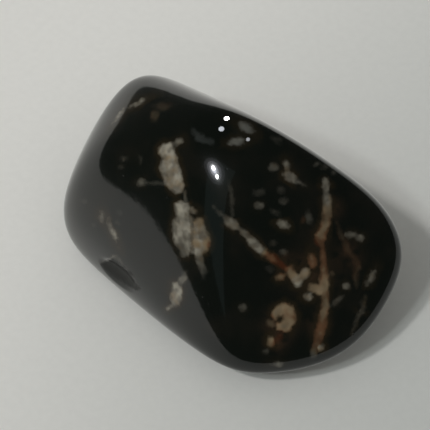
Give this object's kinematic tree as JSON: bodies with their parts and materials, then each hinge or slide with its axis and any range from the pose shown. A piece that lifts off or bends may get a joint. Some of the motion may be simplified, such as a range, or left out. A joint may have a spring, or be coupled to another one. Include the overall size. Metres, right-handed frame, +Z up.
{
  "type": "tumbled onyx",
  "caption": "Tumble-polished black stone with cream and rust veins and spots, an uneven rounded wedge that lies on its flat underside.",
  "frame": {"origin": "the middle of the stone's box, at the height of the surface it lies on", "axes": "+X along the stone's longest extent, towards its low right end; +Y to its far flank; +Z up"},
  "size_m": [0.03, 0.02, 0.0174],
  "materials": {
    "onyx": "tumble polished to a gloss, black, with cream and rust veins, patches and small spots"
  },
  "bodies": {
    "root": {"stone": "onyx"}
  },
  "joints": []
}
